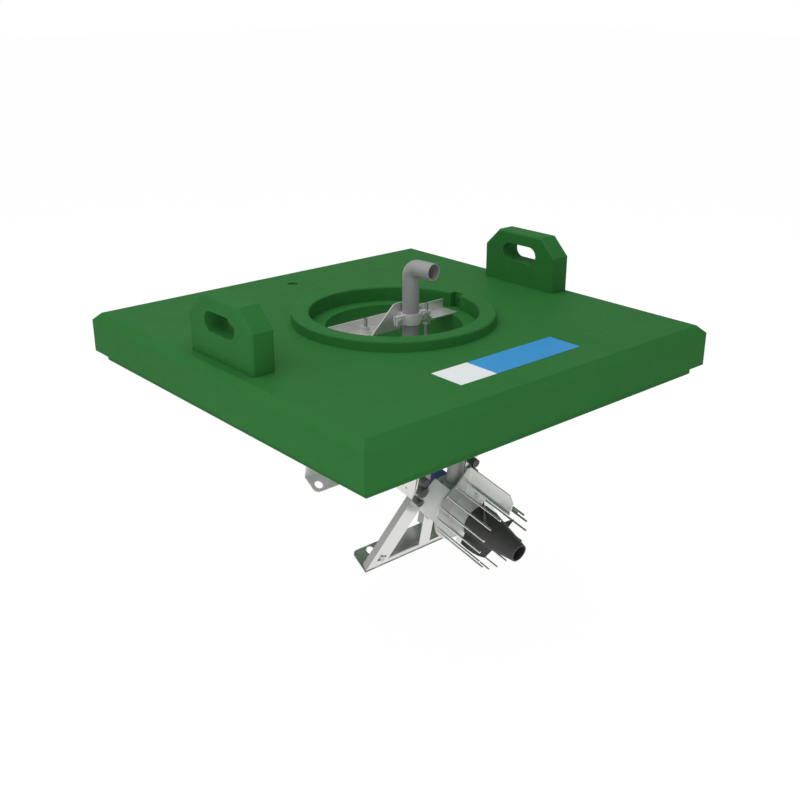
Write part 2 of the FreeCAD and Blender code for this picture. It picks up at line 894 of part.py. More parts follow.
def make_front_frame():
    frame = make_body("FrontPlate")
    half, drop = S.foot_half_width, S.foot_drop
    plate = [
        (-half, -drop),
        (half, -drop),
        (S.strut_top_out, S.strut_top_up),
        (S.plate_top_out, S.plate_shoulder),
        (S.plate_top_out, S.plate_top),
        (-S.plate_top_out, S.plate_top),
        (-S.plate_top_out, S.plate_shoulder),
        (-S.strut_top_out, S.strut_top_up),
    ]
    pad(frame, outline(frame, "XY_Plane", plate), S.sheet, back=True)
    cut_through(frame, circles(frame, "XY_Plane", [(0, 0, S.neck_radius)]))
    # The neck is open towards the top, where the air pipe comes down
    slot_height = S.plate_top + 2 - S.neck_slot_low
    cut_through(frame, outline(frame, "XY_Plane", rectangle(
        2 * S.neck_slot, slot_height, 0, S.neck_slot_low + slot_height / 2)))
    bar = drop - S.bar_height
    post_top = S.neck_radius + 11
    cut_through(frame, outline(frame, "XY_Plane", [
        (-S.post_inner, -bar), (S.post_inner, -bar),
        (S.post_inner, -post_top), (-S.post_inner, -post_top)]))
    rise = S.strut_top_up + drop
    run = half - S.strut_top_out
    strut_width = (half - S.post_outer) * 0.36
    for side in (-1, 1):
        foot_x = half - S.bar_height * run / rise - strut_width
        head_up = (foot_x - S.post_outer - 20) * rise / run - bar
        cut_through(frame, outline(frame, "XY_Plane", [
            (side * foot_x, -bar),
            (side * (S.post_outer + 20), head_up),
            (side * S.post_outer, head_up),
            (side * S.post_outer, -bar)]))
        # Slanted slot for the bolt near the foot
        x, up = side * (half - S.slot_bolt_in), -(drop - S.slot_bolt_up)
        reach, narrow = side * S.slot_length_half, S.slot_width / 2
        cut_through(frame, outline(frame, "XY_Plane", [
            (x + reach, up - narrow - 2), (x - reach, up - narrow + 2),
            (x - reach, up + narrow + 2), (x + reach, up + narrow - 2)]))
    return frame


def add_feet(name, hole_out, hole_depth, depth, low, high, height, start, forward):
    """Bent feet of a plate: rounded sheets with a mooring hole near each end."""
    feet = []
    turned = Rotation(Vector(1, 0, 0), number(S.foot_tilt))
    both = low is None
    spans = [(-number(high), number(high))] if both else \
        [(-number(high), -number(low)), (number(low), number(high))]
    reach = number(depth)
    sign = 1 if forward else -1
    for left, right in spans:
        bite = number(S.sheet) / 2
        sheet_box = Part.makeBox(right - left, number(S.sheet), reach + bite)
        sheet_box.translate(Vector(left, 0, -bite if forward else -reach))
        far = reach * sign
        corners = [edge for edge in sheet_box.Edges
                   if along(edge, Vector(0, 1, 0)) and abs(edge.Vertexes[0].Z - far) < 1e-6
                   and (both or abs(abs(edge.Vertexes[0].X) - number(high)) < 1e-6
                        or abs(abs(edge.Vertexes[0].X) - number(low)) < 1e-6)]
        feet.append(sheet_box.makeFillet(number(S.foot_round), corners))
    for side in (-1, 1):
        hole = Part.makeCylinder(number(S.foot_hole_radius), 30,
                                 Vector(side * number(hole_out), -10,
                                        sign * number(hole_depth)),
                                 Vector(0, 1, 0))
        feet = [foot.cut(hole) for foot in feet]
    shape = Part.makeCompound(feet)
    obj = doc.addObject("Part::Feature", name)
    obj.Shape = shape
    obj.Placement = Placement(Vector(0, -number(height), number(start)), turned)
    return obj


def strut_flanges():
    """Stiffening flanges folded back along the outer edges of the front plate."""
    half, drop = number(S.foot_half_width), number(S.foot_drop)
    top_out, top_up = number(S.strut_top_out), number(S.strut_top_up)
    sheet_t = number(S.sheet)
    flanges = []
    for side in (-1, 1):
        low = Vector(side * half, -drop, 0)
        high = Vector(side * top_out, top_up, 0)
        run = (high - low).normalize()
        inward = Vector(-side * abs(run.y), -abs(run.x), 0)
        low = low + run * 2 * sheet_t
        corners = [low, high, high + inward * sheet_t, low + inward * sheet_t]
        face = Part.Face(Part.makePolygon(corners + corners[:1]))
        flange = face.extrude(Vector(0, 0, -number(S.strut_flange) - sheet_t))
        flanges.append(flange)
    obj = doc.addObject("Part::Feature", "StrutFlanges")
    obj.Shape = Part.makeCompound(flanges)
    return obj


def finish_front_frame():
    plate = make_front_frame()
    feet = add_feet("FrontFeet", S.front_hole_out, S.front_hole_depth, S.foot_depth, None,
                    S.foot_half_width, S.foot_drop, 0, forward=False)
    return keep(on_pump(join(plate, feet, strut_flanges())), "front_frame")


def make_rear_frame():
    frame = make_body("RearPlate")
    half, drop = S.foot_half_width, S.rear_drop
    inner = half - S.rear_tab_width
    plate = [
        (-half, -drop), (-inner, -drop), (-S.motor_radius, -S.rear_belly),
        (S.motor_radius, -S.rear_belly), (inner, -drop), (half, -drop),
        (half, S.rear_shoulder), (S.rail_out, S.rail_low + S.rail_height),
        (-S.rail_out, S.rail_low + S.rail_height), (-half, S.rear_shoulder),
    ]
    pad(frame, outline(frame, "XY_Plane", plate, -S.frame_length), S.sheet, back=True)
    cut_through(frame, circles(frame, "XY_Plane", [(0, 0, S.motor_radius)]))
    feet = add_feet("RearFeet", S.rear_hole_out, S.rear_hole_depth, S.rear_tab_depth,
                    inner, S.foot_half_width, S.rear_drop, -number(S.frame_length),
                    forward=True)
    return keep(on_pump(join(frame, feet)), "rear_frame")


def make_side_rails():
    """Rails that tie the two plates and carry the hanger eyes."""
    back, height = pivot_place()
    length = S.frame_length - S.sheet
    for side, name in ((-1, "left"), (1, "right")):
        low = -S.rail_out if side < 0 else S.rail_out - S.sheet
        rail = block(S.sheet, S.rail_height, length, low + S.sheet / 2,
                     S.rail_low + S.rail_height / 2, -S.frame_length)
        # The rail is notched behind the front plate, so that a slit shows there
        slit = block(S.sheet + 2, S.rail_height - 12, S.rail_slit, low + S.sheet / 2,
                     S.rail_low + 12 + (S.rail_height - 12) / 2, -S.rail_slit - 8)
        lip = block(14, S.sheet, length, side * (S.rail_out - 7),
                    S.rail_low + S.rail_height - S.sheet / 2, -S.frame_length)
        pivot = cylinder(S.pivot_radius, 2 * S.sheet + 2, low - S.sheet / 2 - 1,
                         S.pivot_up, -back, "x")
        small = cylinder(3, 2 * S.sheet + 2, low - S.sheet / 2 - 1,
                         S.rail_low + 21, -S.sheet - 38, "x")
        keep(on_pump(cut(join(rail, lip), slit, pivot, small)), f"side_rail_{name}")


def make_slot_bolts():
    """Bolts in the slanted slots at the ends of the front plate."""
    bolts = []
    for side in (-1, 1):
        x, up = side * (S.foot_half_width - S.slot_bolt_in), -(S.foot_drop - S.slot_bolt_up)
        head = hexagon(2.4 * S.slot_bolt_radius, 4, x, up, 0)
        shank = cylinder(S.slot_width / 2 - 0.6, S.sheet, x, up, -S.sheet)
        nut = hexagon(2.4 * S.slot_bolt_radius, 5, x, up, -S.sheet - 5)
        bolts.append(join(head, shank, nut))
    return keep(on_pump(group(*bolts)), "slot_bolts")


def make_buffers():
    """Round buffers in a row up each side of the neck, each beside the shroud's cheek."""
    buffers = []
    for side in (-1, 1):
        for angle, share, clear in ((41, 0.9, 17), (27, 1, 0.5), (9, 0.7, 0.5)):
            radius = share * S.buffer_radius
            away = S.shroud_radius + clear + radius
            buffers.append(cylinder(radius, S.buffer_length, side * away * cosine(angle),
                                    away * sine(angle), 0))
    return keep(on_pump(group(*buffers)), "frame_buffers")


# Motor

def make_motor():
    rear = -(S.motor_start + S.motor_length)
    front = -S.motor_start
    shell = tube(S.motor_radius, S.motor_radius - S.motor_wall, S.motor_length, rear)
    keep(on_pump(shell), "motor_housing")

    face = cylinder(S.flange_radius, S.flange_length, z=front)
    boss_length = S.bearing_length + S.boss_run
    boss = cylinder(S.bearing_radius + S.bearing_wall, boss_length, z=front - boss_length)
    seat = cylinder(S.bearing_radius, S.bearing_length + 1, z=front - boss_length - 1)
    seal_seat = cylinder(S.seal_radius, S.seal_length + 1,
                         z=front + S.flange_length - S.seal_length)
    bore = cylinder(S.shaft_radius + S.shaft_room, boss_length + S.flange_length + 2,
                    z=front - boss_length - 1)
    keep(on_pump(cut(join(face, boss), seat, seal_seat, bore)), "motor_front_flange")

    inner = S.motor_radius - S.motor_wall
    lid = cone(S.motor_radius - S.cap_draft, S.motor_radius, S.cap_length, rear - S.cap_length)
    plug = cylinder(S.rear_bearing_radius + S.bearing_wall,
                    S.bearing_length + S.bearing_wall, z=rear)
    recess = cylinder(S.rear_bearing_radius, S.bearing_length + 1,
                      z=rear + S.bearing_wall)
    keep(on_pump(cut(join(lid, plug), recess)), "motor_end_cap")

    gland = join(
        cylinder(S.gland_radius, S.gland_length, z=0),
        hexagon(2.3 * S.gland_radius, S.gland_hexagon_height, z=0))
    gland = cut(gland, cylinder(S.gland_radius - S.gland_wall,
                                S.gland_length - S.gland_floor, z=S.gland_floor + 2))
    shift(gland, 0, inner / 2, rear - S.cap_length, Rotation(Vector(1, 0, 0), 180))
    keep(on_pump(group(gland)), "cable_gland")

    core_start = -(S.stator_start + S.stator_length)
    keep(on_pump(tube(inner, S.rotor_radius + S.rotor_gap, S.stator_length, core_start)),
         "stator")
    keep(on_pump(tube(S.rotor_radius, S.shaft_radius,
                      S.stator_length - 2 * S.rotor_end_gap,
                      core_start + S.rotor_end_gap)),
         "rotor")
    fit = S.shaft_radius + S.shaft_fit
    keep(on_pump(tube(S.bearing_radius, fit, S.bearing_length, front - boss_length)),
         "front_bearing")
    keep(on_pump(tube(S.rear_bearing_radius, fit, S.bearing_length,
                      rear + S.bearing_wall)),
         "rear_bearing")
    keep(on_pump(tube(S.seal_radius, fit, S.seal_length,
                      front + S.flange_length - S.seal_length)), "shaft_seal")
    shaft_start = rear + S.bearing_wall + S.shaft_end_gap
    shaft_end = S.hub_start + S.arm_length + S.hub_nut_length
    keep(on_pump(group(cylinder(S.shaft_radius, shaft_end - shaft_start, z=shaft_start))),
         "motor_shaft")


# Air chamber, shroud and guard

def make_air_chamber():
    chamber = make_body("ChamberBody")
    rear = -(S.motor_start - S.flange_length)
    inner = S.chamber_radius - S.chamber_wall
    hole = S.shaft_radius + S.shaft_room
    profile = [
        (hole, rear), (S.chamber_flange, rear), (S.chamber_flange, rear + S.chamber_neck),
        (S.chamber_radius, rear + 2 * S.chamber_neck), (S.chamber_radius, S.chamber_front),
        (inner, S.chamber_front), (inner, rear + S.chamber_wall + 3),
        (hole, rear + S.chamber_wall + 3),
    ]
    turn(chamber, outline(chamber, "XZ_Plane", profile))
    # Lug plate that bolts on the back of the front plate, below the neck
    lug_plate = outline(chamber, "XY_Plane", [
        (-S.lug_plate_half, -S.lug_plate_low), (S.lug_plate_half, -S.lug_plate_low),
        (S.lug_plate_half, -S.lug_plate_high), (-S.lug_plate_half, -S.lug_plate_high)], rear)
    pad(chamber, lug_plate, -S.sheet - rear)
    inside = circles(chamber, "XY_Plane", [(0, 0, inner)], rear + S.chamber_wall + 3)
    cut_deep(chamber, inside, 40, back=True)
    shaft_way = circles(chamber, "XY_Plane", [(0, 0, hole)], rear - 1)
    cut_deep(chamber, shaft_way, S.chamber_wall + 6, back=True)
    # Stub for the air pipe, with its seat and the port below it
    stub_radius = S.pipe_radius + S.stub_wall
    pad(chamber, circles(chamber, "XZ_Plane", [(0, S.stub_forward, stub_radius)],
                         -S.stub_top), S.stub_top - inner - 2)
    cut_deep(chamber, circles(chamber, "XZ_Plane", [(0, S.stub_forward, S.pipe_radius)],
                              -S.stub_top), S.stub_top - S.stub_seat, back=True)
    port = circles(chamber, "XZ_Plane", [(0, S.stub_forward, S.pipe_radius - S.pipe_wall)],
                   -S.stub_seat - 1)
    cut_deep(chamber, port, S.stub_seat - 15, back=True)
    # Spider that holds the bush near the propeller
    start = S.chamber_front - S.bush_length
    pad(chamber, circles(chamber, "XY_Plane", [(0, 0, S.spider_radius)], start),
        S.bush_length)
    rib = outline(chamber, "XY_Plane",
                  rectangle(S.spider_rib, inner + 1, 0, (inner + 1) / 2), start)
    rib_pad = pad(chamber, rib, S.bush_length)
    pattern = chamber.newObject("PartDesign::PolarPattern", "Ribs")
    pattern.Originals = [rib_pad]
    pattern.Axis = (rib, ["N_Axis"])
    pattern.Angle = 360
    pattern.Occurrences = 3
    chamber.Tip = pattern
    doc.recompute()
    bore = circles(chamber, "XY_Plane", [(0, 0, S.bush_radius)], start)
    cut_deep(chamber, bore, S.bush_length + 1, back=True)
    keep(on_pump(chamber), "air_chamber")
    keep(on_pump(tube(S.bush_radius, S.shaft_radius + S.shaft_fit, S.bush_length, start)),
         "front_bush")
    heads = []
    for side in (-1, 1):
        heads.append(hexagon(8, 5, side * (S.post_outer - 2), -14, 0))
        heads.append(hexagon(8, 5, side * (S.post_outer - 12), -50, 0))
    keep(on_pump(group(*heads)), "chamber_bolts")


def ring_sector(outer, inner, start, length, low, high):
    """Part of a tube between two angles about the pump's axis."""
    obj = doc.addObject("Part::Cylinder", "Sector")
    obj.Radius = number(outer)
    obj.Height = number(length)
    obj.Angle = number(high) - number(low)
    bind(obj, "Radius", outer)
    bind(obj, "Height", length)
    bind(obj, "Angle", high - low)
    shift(obj, z=start, rotation=Rotation(Vector(0, 0, 1), number(low)))
    return cut(obj, cylinder(inner, length + 2, z=start - 1))


def make_shroud():
    """Two curved cheeks beside the chamber, and the rubber mounts that carry them."""
    length = S.shroud_front - S.shroud_back
    inner = S.shroud_radius - S.shroud_wall
    right = ring_sector(S.shroud_radius, inner, S.shroud_back, length,
                        S.cheek_low, S.cheek_high)
    left = ring_sector(S.shroud_radius, inner, S.shroud_back, length,
                       180 - S.cheek_high, 180 - S.cheek_low)
    for name, cheek in (("right", right), ("left", left)):
        keep(on_pump(cheek), f"shroud_cheek_{name}")
    mounts = []
    for angle in (0, 34):
        for turned in (angle, 180 - angle):
            way = math.radians(turned)
            radius = S.shroud_radius - S.shroud_wall / 2
            mounts.append(cylinder(S.mount_radius - 4, S.shroud_back,
                                   radius * math.cos(way), radius * math.sin(way), 0))
    keep(on_pump(group(*mounts)), "rubber_mounts")


def make_rod_guard():
    """The ring behind the propeller and the circle of rods that stand on it."""
    start = S.shroud_front
    ring = make_body("GuardRing")
    # A gusset rises from the ring to the fin's upper corner
    beside = S.rod_radius + S.fin_gap + S.sheet
    pad(ring, outline(ring, "XY_Plane", [
        (-S.ring_radius * 0.5, S.ring_radius * 0.8), (beside, S.ring_radius * 0.8),
        (beside, S.ring_tower), (-beside, S.ring_tower)], start), S.ring_thickness)
    pad(ring, circles(ring, "XY_Plane", [(0, 0, S.ring_radius)], start), S.ring_thickness)
    cut_through(ring, circles(ring, "XY_Plane", [(0, 0, S.chamber_radius + S.ring_gap)],
                              start))
    keep(on_pump(ring), "guard_ring")
    root_z = start + S.ring_thickness
    rods = []
    count = int(number(S.rod_count))
    for index in range(count):
        angle = 360 / count * index
        rods.append(cylinder(S.rod_radius, S.rod_end - root_z,
                             S.rod_circle * cosine(angle), S.rod_circle * sine(angle),
                             root_z))
    return keep(on_pump(group(*rods)), "guard_rods")


def make_fins():
    """Upright fins above and below the guard, welded to its ring beside a rod."""
    start = S.shroud_front + S.ring_thickness
    beside = S.rod_radius + S.fin_gap
    end = start + S.fin_length
    foot = start + S.fin_foot_length
    upper = make_body("UpperFin")
    shape = [
        (S.fin_root, start), (S.fin_top, start), (S.fin_top, end),
        (S.fin_top - 16, end + 14), (S.fin_low + 6, end + 10), (S.fin_low, end),
        (S.fin_low, foot + 14), (S.fin_root + 8, foot), (S.fin_root, foot - 10),
    ]
    pad(upper, outline(upper, "YZ_Plane", shape, beside), S.sheet)
    bolt_hole = circles(upper, "YZ_Plane",
                        [(S.fin_bolt_up, S.fin_bolt_forward, S.fin_bolt_radius)])
    cut_through(upper, bolt_hole)
    keep(on_pump(upper), "upper_fin")

    lower = make_body("LowerFin")
    far = start + S.lower_fin_length
    shape = [
        (-S.fin_root, start), (-S.lower_fin_drop, start), (-S.lower_fin_drop, far - 16),
        (-S.lower_fin_drop + 12, far), (-S.fin_low + 8, far), (-S.fin_root, far - 18),
    ]
    pad(lower, outline(lower, "YZ_Plane", shape, beside), S.sheet)
    hole = circles(lower, "YZ_Plane",
                   [(-S.fin_bolt_up, S.fin_bolt_forward, S.fin_bolt_radius)])
    cut_through(lower, hole)
    keep(on_pump(lower), "lower_fin")

    bolts = []
    for side in (-1, 1):
        up = side * S.fin_bolt_up
        head = hexagon(10, 4, 0, up, S.fin_bolt_forward, "x")
        shift(head, beside - 4, up, S.fin_bolt_forward, AXES["x"])
        shank = cylinder(S.fin_bolt_radius, S.sheet, beside, up, S.fin_bolt_forward, "x")
        nut = hexagon(10, 5, 0, up, S.fin_bolt_forward, "x")
        shift(nut, beside + S.sheet, up, S.fin_bolt_forward, AXES["x"])
        bolts.append(join(head, shank, nut))
    keep(on_pump(group(*bolts)), "fin_bolts")


# Propeller

def blade_section(radius, pitch, chord, thickness):
    """A lens-shaped section on a plane that faces outward at this radius."""
    lean = math.radians(pitch)
    middle = Vector(0, radius, number(S.blade_middle))
    chord_way = Vector(-math.sin(lean), 0, math.cos(lean))
    across = Vector(math.cos(lean), 0, math.sin(lean))
    nose = middle + chord_way * (chord / 2)
    tail = middle - chord_way * (chord / 2)
    upper = Part.Arc(tail, middle + across * (thickness * 0.75), nose).toShape()
    lower = Part.Arc(nose, middle - across * (thickness * 0.25), tail).toShape()
    return Part.Wire([upper, lower])


def make_propeller():
    hub_length = number(S.hub_end - S.hub_start)
    start, straight = number(S.hub_start), number(S.hub_straight)
    radius, end_radius = number(S.hub_radius), number(S.hub_end_radius)
    wall = number(S.hub_wall)

    def skin(outer, end_outer, from_z, to_z):
        tail = Part.makeCylinder(outer, straight, Vector(0, 0, from_z))
        nose = Part.makeCone(outer, end_outer, to_z - from_z - straight,
                             Vector(0, 0, from_z + straight))
        return tail.fuse(nose)

    outer = skin(radius, end_radius, start, start + hub_length)
    inner = skin(radius - wall, end_radius - wall, start - 0.001, start + hub_length + 0.001)
    arm_length = number(S.arm_length)
    boss = Part.makeCylinder(number(S.boss_radius), arm_length, Vector(0, 0, start))
    arms = []
    for index in range(3):
        arm = Part.makeBox(number(S.arm_width), radius - wall / 2, arm_length,
                           Vector(-number(S.arm_width) / 2, 0, start))
        arm.rotate(Vector(), Vector(0, 0, 1), 120 * index + 60)
        arms.append(arm)
    chord, thick = number(S.blade_chord), number(S.blade_thickness)
    tip = number(S.blade_radius)
    root_radius = end_radius + 1
    sections = []
    for share in (0, 0.5, 1):
        pitch = number(S.blade_root_pitch) * (1 - share) + number(S.blade_tip_pitch) * share
        sections.append(blade_section(root_radius + (tip - root_radius) * share, pitch,
                                      chord * (1 - 0.12 * share), thick * (1 - 0.4 * share)))
    blade = Part.makeLoft(sections, True)
    blade = blade.common(Part.makeCylinder(tip, number(S.hub_cutter), Vector(0, 0, 0)))
    blades = []
    count = int(number(S.blade_count))
    for index in range(count):
        turned = blade.copy()
        turned.rotate(Vector(), Vector(0, 0, 1), 360 / count * index + number(S.blade_turn))
        blades.append(turned)
    shell = outer.fuse(blades).cut(inner).fuse([boss] + arms)
    shaft_hole = Part.makeCylinder(number(S.shaft_radius), number(S.hub_cutter))
    shape = shell.cut(shaft_hole).removeSplitter()
    obj = feature(shape, "propeller")
    return on_pump(obj)



def make_cone():
    length = S.cone_end - S.hub_end
    outer = cone(S.hub_end_radius, S.cone_end_radius, length, S.hub_end)
    inner = cone(S.hub_end_radius - S.cone_wall, S.cone_end_radius - S.cone_wall,
                 length, S.hub_end)
    keep(on_pump(cut(outer, inner)), "diffuser_cone")
    nut = hexagon(2 * S.hub_nut_radius, S.hub_nut_length - 1, 0, 0,
                  S.hub_start + S.arm_length)
    bore = cylinder(S.shaft_radius, S.hub_nut_length + 2, z=S.hub_start + S.arm_length - 1)
    keep(on_pump(cut(nut, bore)), "hub_nut")


def check_and_export():
    doc.recompute()
    for obj in doc.Objects:
        if "Invalid" in obj.State or "Error" in obj.State:
            raise RuntimeError(f"{obj.Name} ({obj.Label}) failed: {obj.State} {obj.getStatusString()}")
    os.makedirs("parts", exist_ok=True)
    for obj in SUBPARTS:
        if obj.Shape.isNull() or not obj.Shape.isValid() or not obj.Shape.Solids:
            raise RuntimeError(f"{obj.Label} has no valid shape")
    for obj in SUBPARTS:
        obj.Shape.exportStep(f"parts/{obj.Label}.step")
        print(obj.Label, len(obj.Shape.Solids), round(obj.Shape.Volume / 1000, 1), "cm3")


make_float()
make_filler_plug()
make_beam()
make_hangers()
make_pivot_bolts()
make_air_pipe()
make_pipe_clamp()
finish_front_frame()
make_rear_frame()
make_side_rails()
make_slot_bolts()
make_buffers()
make_motor()
make_air_chamber()
make_shroud()
make_rod_guard()
make_fins()
make_propeller()
make_cone()
check_and_export()
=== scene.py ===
import json
import math

import bmesh
import bpy
from mathutils import Matrix, Vector


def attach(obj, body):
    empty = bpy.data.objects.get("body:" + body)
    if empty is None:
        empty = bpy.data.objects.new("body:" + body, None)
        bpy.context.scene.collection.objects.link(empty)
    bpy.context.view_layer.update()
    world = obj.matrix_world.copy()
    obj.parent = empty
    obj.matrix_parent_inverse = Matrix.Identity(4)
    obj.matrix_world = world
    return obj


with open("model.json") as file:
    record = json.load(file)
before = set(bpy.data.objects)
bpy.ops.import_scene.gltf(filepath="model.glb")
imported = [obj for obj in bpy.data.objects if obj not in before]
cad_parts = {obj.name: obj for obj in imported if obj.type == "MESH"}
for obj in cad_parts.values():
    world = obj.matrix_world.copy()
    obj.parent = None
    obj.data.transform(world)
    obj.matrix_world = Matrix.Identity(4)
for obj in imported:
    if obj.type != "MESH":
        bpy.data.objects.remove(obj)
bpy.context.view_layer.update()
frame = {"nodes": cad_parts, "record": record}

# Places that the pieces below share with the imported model, in metres
DECK_TOP = 0.124
PUMP_PLACE = Vector((0.0, -0.1834, -0.2786))
PUMP_TILT = math.radians(12)
FORWARD = Vector((0.0, -math.cos(PUMP_TILT), -math.sin(PUMP_TILT)))
UP = Vector((0.0, -math.sin(PUMP_TILT), math.cos(PUMP_TILT)))
SIDE = Vector((1.0, 0.0, 0.0))

# The photograph's camera, solved from the float's corners and circles
IMAGE_PIXELS = 800
FOCAL_PIXELS = 1062.93
SENSOR_WIDTH = 36
CAMERA_RIGHT = Vector((0.75262284, -0.65845053, 0.00132888))
CAMERA_DOWN = Vector((-0.24260483, -0.27917751, -0.92908709))
CAMERA_AHEAD = Vector((0.61212888, 0.69892977, -0.36985864))
CAMERA_PLACE = Vector((-1.601773, -1.851377, 0.888349))

# The stage: how far down the floor is, how much of it glows to the eye, and the room's light
FLOOR_HEIGHT = -0.75
FLOOR_GLOW_SHARE = 0.88
FLOOR_GLOW = 1.08
ROOM_LIGHT = 0.36
CEILING_LIGHT = 0.42


# Materials

WAVES_PER_UNIT = 3.1831     # bands that a wave texture of scale 1 draws in a metre


class Nodes:
    """Short calls for building one material's node tree."""

    def __init__(self, name):
        self.material = bpy.data.materials.new(name)
        self.material.use_nodes = True
        self.tree = self.material.node_tree
        self.shader = self.tree.nodes["Principled BSDF"]
        self.place = self.new("ShaderNodeTexCoord").outputs["Object"]

    def new(self, kind, **settings):
        node = self.tree.nodes.new(kind)
        for key, value in settings.items():
            setattr(node, key, value)
        return node

    def link(self, source, target):
        self.tree.links.new(source, target)

    def noise(self, scale, detail=4.0, rough=0.55, stretch=None):
        node = self.new("ShaderNodeTexNoise")
        node.inputs["Scale"].default_value = scale
        node.inputs["Detail"].default_value = detail
        node.inputs["Roughness"].default_value = rough
        self.link(self.stretched(stretch), node.inputs["Vector"])
        return node.outputs["Fac"]

    def stretched(self, stretch):
        if stretch is None:
            return self.place
        mapping = self.new("ShaderNodeMapping")
        mapping.inputs["Scale"].default_value = stretch
        self.link(self.place, mapping.inputs["Vector"])
        return mapping.outputs["Vector"]

    def wave(self, scale, axis):
        node = self.new("ShaderNodeTexWave", bands_direction=axis)
        node.inputs["Scale"].default_value = scale
        node.inputs["Distortion"].default_value = 0.0
        self.link(self.place, node.inputs["Vector"])
        return node.outputs["Fac"]

    def ramp(self, source, *stops):
        node = self.new("ShaderNodeValToRGB")
        ramp = node.color_ramp
        while len(ramp.elements) < len(stops):
            ramp.elements.new(0.5)
        for element, (position, colour) in zip(ramp.elements, stops):
            element.position = position
            element.color = (*colour, 1)
        self.link(source, node.inputs["Fac"])
        return node.outputs["Color"]

    def span(self, source, low, high, start=0.3, end=0.7):
        node = self.new("ShaderNodeMapRange")
        node.inputs["From Min"].default_value = start
        node.inputs["From Max"].default_value = end
        node.inputs["To Min"].default_value = low
        node.inputs["To Max"].default_value = high
        self.link(source, node.inputs["Value"])
        return node.outputs["Result"]

    def bump(self, height, distance, strength=1.0, below=None):
        node = self.new("ShaderNodeBump")
        node.inputs["Distance"].default_value = distance
        node.inputs["Strength"].default_value = strength
        self.link(height, node.inputs["Height"])
        if below is not None:
            self.link(below, node.inputs["Normal"])
        return node.outputs["Normal"]

    def set(self, **values):
        """Give the shader's sockets, named as in base_color, a value or a link."""
        for key, value in values.items():
            name = key.replace("_", " ").title().replace("Ior", "IOR")
            socket = self.shader.inputs[name]
            if isinstance(value, bpy.types.NodeSocket):
                self.link(value, socket)
            else:
                socket.default_value = value


def moulded(name, colour, rough, grain=900, depth=0.00006, spread=0.12, specular=0.5):
    """Moulded plastic: faint clouding of the colour and a fine orange-peel skin."""
    n = Nodes(name)
    dark = tuple(c * (1 - spread) for c in colour)
    light = tuple(min(1, c * (1 + spread)) for c in colour)
    tint = n.ramp(n.noise(7, 5), (0.3, dark), (0.7, light))
    skin = n.bump(n.noise(grain, 2), depth)
    wide = n.bump(n.noise(16, 2), 0.0004, 0.12, skin)
    n.set(base_color=tint, roughness=n.span(n.noise(60, 3), rough - 0.05, rough + 0.06),
          normal=wide, specular_ior_level=specular)
    return n.material


def brushed(name, colour, rough, stretch, metal=1.0):
    """Rolled or brushed sheet: long faint lines in one direction and a soft clouding."""
    n = Nodes(name)
    lines = n.noise(90, 5, 0.5, stretch)
    dark = tuple(c * 0.96 for c in colour)
    tint = n.ramp(n.noise(9, 3), (0.3, dark), (0.7, colour))
    n.set(base_color=tint, metallic=metal,
          roughness=n.span(lines, rough - 0.02, rough + 0.03))
    return n.material


def threaded(name, colour, pitch, axis):
    """A rolled screw thread, drawn as rings at the thread's pitch, with painted shade
    darkening each groove.
    """
    n = Nodes(name)
    rings = n.wave(1.0 / pitch / WAVES_PER_UNIT, axis)
    # Painted shade: the dark part of each ring stands in for the shade in the thread's
    # grooves.
    tint = n.ramp(rings, (0.15, tuple(c * 0.45 for c in colour)), (0.7, colour))
    n.set(base_color=tint, metallic=1.0, roughness=0.34,
          normal=n.bump(rings, 0.0006, 0.8))
    return n.material


GREEN = (0.031, 0.182, 0.040)
PIPE_GREY = (0.35, 0.345, 0.35)
STEEL = (0.80, 0.80, 0.785)
ZINC = (0.66, 0.66, 0.655)

MATERIALS = {
    "green_shell": moulded("green_shell", GREEN, 0.58, 700, 0.00003, 0.03, 0.06),
    "grey_pipe": moulded("grey_pipe", PIPE_GREY, 0.42, 1200, 0.00002, 0.03, 0.4),
    "stainless": brushed("stainless", STEEL, 0.30, (1, 14, 14), metal=0.72),
    "fastener": brushed("fastener", ZINC, 0.38, (8, 8, 8), metal=0.45),
    "motor_steel": brushed("motor_steel", (0.7, 0.7, 0.71), 0.25, (1, 10, 1)),
    "dark_casting": moulded("dark_casting", (0.035, 0.04, 0.055), 0.5, 500, 0.0002, 0.2),
    "black_plastic": moulded("black_plastic", (0.058, 0.058, 0.057), 0.55, 900, 0.00004,
                             0.08, 0.3),
    "light_plastic": moulded("light_plastic", (0.84, 0.84, 0.84), 0.4, 900, 0.00003, 0.03),
    "chamber_plastic": moulded("chamber_plastic", (0.58, 0.59, 0.56), 0.5, 900, 0.00003,
                               0.04, 0.3),
    "rubber": moulded("rubber", (0.09, 0.09, 0.088), 0.5, 1500, 0.00004, 0.08),
    "core_steel": brushed("core_steel", (0.3, 0.3, 0.31), 0.5, (1, 60, 1)),
    "bearing_steel": brushed("bearing_steel", (0.72, 0.72, 0.73), 0.16, (20, 1, 20)),
}

# Looks of single nodes, where the photograph shows them apart from their slot's look
THREAD = threaded("thread_with_painted_groove_shade", (0.34, 0.34, 0.335), 0.0015, "Z")
CLAMP = brushed("clamp_zinc", (0.74, 0.74, 0.735), 0.4, (8, 8, 8), metal=0.2)
ROD = brushed("rod_steel", (0.80, 0.80, 0.79), 0.16, (1, 1, 1))
RING = brushed("ring_steel", (0.70, 0.70, 0.685), 0.32, (1, 14, 14), metal=0.72)
FRAME = brushed("frame_steel", (0.75, 0.75, 0.735), 0.22, (1, 14, 14), metal=0.9)
# The fins' steel is painted lighter than the other stainless parts, with less metal, as
# painted light standing in for the bright reflection of the white room on the fins.
PAINTED_BRIGHT_FIN = brushed("fin_steel_painted_light", (0.90, 0.90, 0.885), 0.34, (1, 14, 14), metal=0.5)


def dress(node, material):
    """Give a CAD node its material in every slot it has."""
    obj = frame["nodes"][node]
    slots = obj.data.materials
    if not slots:
        slots.append(material)
    for index in range(len(slots)):
        slots[index] = material


